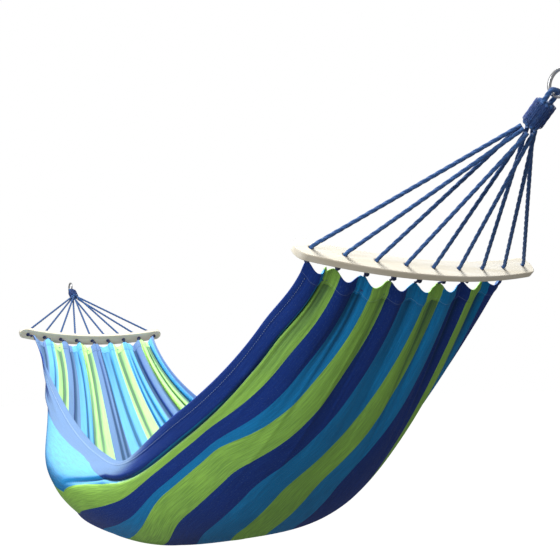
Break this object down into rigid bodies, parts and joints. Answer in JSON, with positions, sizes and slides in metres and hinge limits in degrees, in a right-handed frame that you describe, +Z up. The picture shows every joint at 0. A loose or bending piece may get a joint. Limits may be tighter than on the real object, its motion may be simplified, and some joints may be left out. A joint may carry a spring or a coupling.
{
  "type": "camping hammock",
  "caption": "Striped woven hammock with curved wooden spreader bars, cord fans, whipped rope eyes and steel rings.",
  "frame": {"origin": "centre of the near ring's bore, where the hammock hooks on", "axes": "+X from the far ring to the near ring, +Y across the bed, +Z up"},
  "size_m": [2.7355, 0.8206, 0.9156],
  "materials": {
    "canvas": "woven cotton in blue, teal and green stripes",
    "rope": "twisted navy cord",
    "knot_cord": "dark navy cord",
    "whipping_cord": "waxed blue cord",
    "spreader_wood": "pale sanded wood",
    "steel_ring": "satin steel"
  },
  "bodies": {
    "near_ring": {"near_ring": "steel_ring"},
    "near_eye": {"near_rope_eye": "rope", "near_gathered_neck": "rope", "near_whipping": "whipping_cord"},
    "near_fan": {"near_line_tails": "rope", "near_spreader_bar": "spreader_wood", "near_bar_knots": "knot_cord", "near_suspension_line_1": "rope", "near_suspension_line_2": "rope", "near_suspension_line_3": "rope", "near_suspension_line_4": "rope", "near_suspension_line_5": "rope", "near_suspension_line_6": "rope", "near_suspension_line_7": "rope", "near_suspension_line_8": "rope", "near_suspension_line_9": "rope"},
    "bed": {"canvas_bed": "canvas", "left_side_hem": "canvas", "right_side_hem": "canvas", "near_hem_cords": "knot_cord", "near_hem_knots": "knot_cord", "near_hem_rope": "rope", "near_hem_band": "canvas", "far_hem_cords": "knot_cord", "far_hem_knots": "knot_cord", "far_hem_rope": "rope", "far_hem_band": "canvas"},
    "far_bar": {"far_line_tails": "rope", "far_spreader_bar": "spreader_wood", "far_bar_knots": "knot_cord"},
    "far_fan": {"far_suspension_line_1": "rope", "far_suspension_line_2": "rope", "far_suspension_line_3": "rope", "far_suspension_line_4": "rope", "far_suspension_line_5": "rope", "far_suspension_line_6": "rope", "far_suspension_line_7": "rope", "far_suspension_line_8": "rope", "far_suspension_line_9": "rope"},
    "far_eye": {"far_rope_eye": "rope", "far_gathered_neck": "rope", "far_whipping": "whipping_cord"},
    "far_ring": {"far_ring": "steel_ring"}
  },
  "joints": [
    {"name": "surge", "type": "hinge", "parent": "near_ring", "child": "near_eye", "pos_m": [-0.01783, 0, -0.01373], "axis": [0, 1, 0], "range_deg": [-6, 6]},
    {"name": "swing", "type": "hinge", "parent": "near_eye", "child": "near_fan", "pos_m": [-0.06378, 0, -0.04912], "axis": [1, 0, 0], "range_deg": [-25, 25]},
    {"name": "near_hem_pitch", "type": "hinge", "parent": "near_fan", "child": "bed", "pos_m": [-0.33356, 0, -0.25195], "axis": [0, 1, 0], "range_deg": [-8.2, 8.2]},
    {"name": "far_hem_pitch", "type": "hinge", "parent": "bed", "child": "far_bar", "pos_m": [-2.35196, 0, -0.25195], "axis": [0, 1, 0], "range_deg": [-8.2, 8.2]},
    {"name": "far_fan_fold", "type": "hinge", "parent": "far_bar", "child": "far_fan", "pos_m": [-2.35383, 0, -0.21504], "axis": [0, 1, 0], "range_deg": [0, 75]},
    {"name": "far_swing", "type": "hinge", "parent": "far_fan", "child": "far_eye", "pos_m": [-2.62173, 0, -0.04912], "axis": [1, 0, 0], "range_deg": [-25, 25]},
    {"name": "far_ring_pitch", "type": "hinge", "parent": "far_eye", "child": "far_ring", "pos_m": [-2.66769, 0, -0.01373], "axis": [0, 1, 0], "range_deg": [-6, 6]}
  ],
  "couplings": [
    {"joint": "near_hem_pitch", "follows": "surge", "ratio": -1.3129},
    {"joint": "far_hem_pitch", "follows": "surge", "ratio": 1.3129},
    {"joint": "far_swing", "follows": "swing", "ratio": -1},
    {"joint": "far_ring_pitch", "follows": "surge", "ratio": -1}
  ]
}
